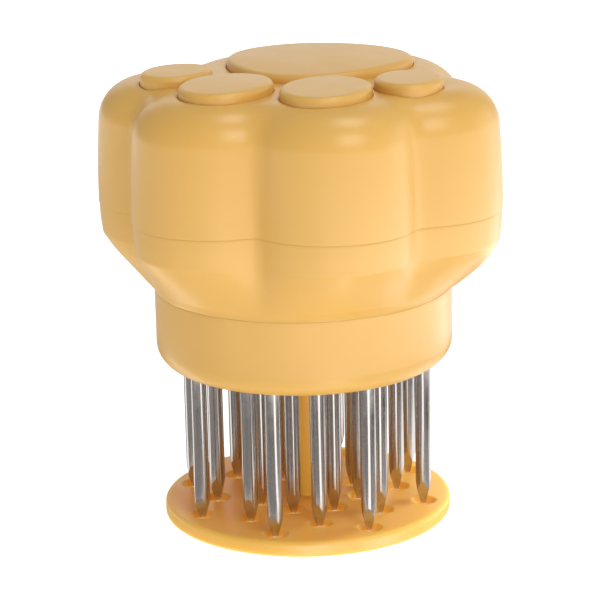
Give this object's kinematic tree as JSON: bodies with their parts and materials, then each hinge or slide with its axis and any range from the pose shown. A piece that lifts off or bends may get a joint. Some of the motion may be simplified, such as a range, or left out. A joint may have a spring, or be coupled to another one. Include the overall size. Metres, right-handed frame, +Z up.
{
  "type": "needle meat tenderizer",
  "caption": "Push-down needle meat tenderizer: paw-shaped handle with raised pads, round needle block below it, and a spring-loaded round guard plate that the needles pass through.",
  "frame": {"origin": "centre of the guard plate's underside, the face that the tool stands on", "axes": "+Z up along the guide post, the guard's travel; -Y towards the toes of the paw; +X to the right of the paw seen with the toes towards the viewer"},
  "size_m": [0.0812, 0.0783, 0.0914],
  "materials": {
    "yellow_shell": "satin moulded ABS",
    "inner_plastic": "moulded, unpolished",
    "hardware_steel": "plated",
    "needle_steel": "polished stainless"
  },
  "bodies": {
    "handle": {"needle_collar": "yellow_shell", "lower_shell": "yellow_shell", "paw_cover": "yellow_shell", "needle_carrier": "inner_plastic", "needle_clamp": "inner_plastic", "guide_bush": "inner_plastic", "clamp_screws": "hardware_steel", "collar_screws": "hardware_steel", "cover_screws": "hardware_steel", "seat_washer": "hardware_steel", "return_spring": "hardware_steel", "inner_toe_pad_left": "yellow_shell", "inner_toe_pad_right": "yellow_shell", "outer_toe_pad_left": "yellow_shell", "outer_toe_pad_right": "yellow_shell", "palm_pad": "yellow_shell", "needle_01": "needle_steel", "needle_02": "needle_steel", "needle_03": "needle_steel", "needle_04": "needle_steel", "needle_05": "needle_steel", "needle_06": "needle_steel", "needle_07": "needle_steel", "needle_08": "needle_steel", "needle_09": "needle_steel", "needle_10": "needle_steel", "needle_11": "needle_steel", "needle_12": "needle_steel", "needle_13": "needle_steel", "needle_14": "needle_steel", "needle_15": "needle_steel", "needle_16": "needle_steel", "needle_17": "needle_steel", "needle_18": "needle_steel", "needle_19": "needle_steel", "needle_20": "needle_steel", "needle_21": "needle_steel", "needle_22": "needle_steel", "needle_23": "needle_steel", "needle_24": "needle_steel"},
    "guard": {"guard_plate": "yellow_shell", "guide_post": "yellow_shell", "post_screw": "hardware_steel", "stop_washer": "hardware_steel", "stop_screw": "hardware_steel"}
  },
  "joints": [
    {"name": "guard_slide", "type": "slide", "parent": "handle", "child": "guard", "axis": [0, 0, 1], "range_m": [0, 0.025], "stiffness_N_per_m": 975, "springref_m": -0.008, "deforming": ["return_spring"]}
  ]
}
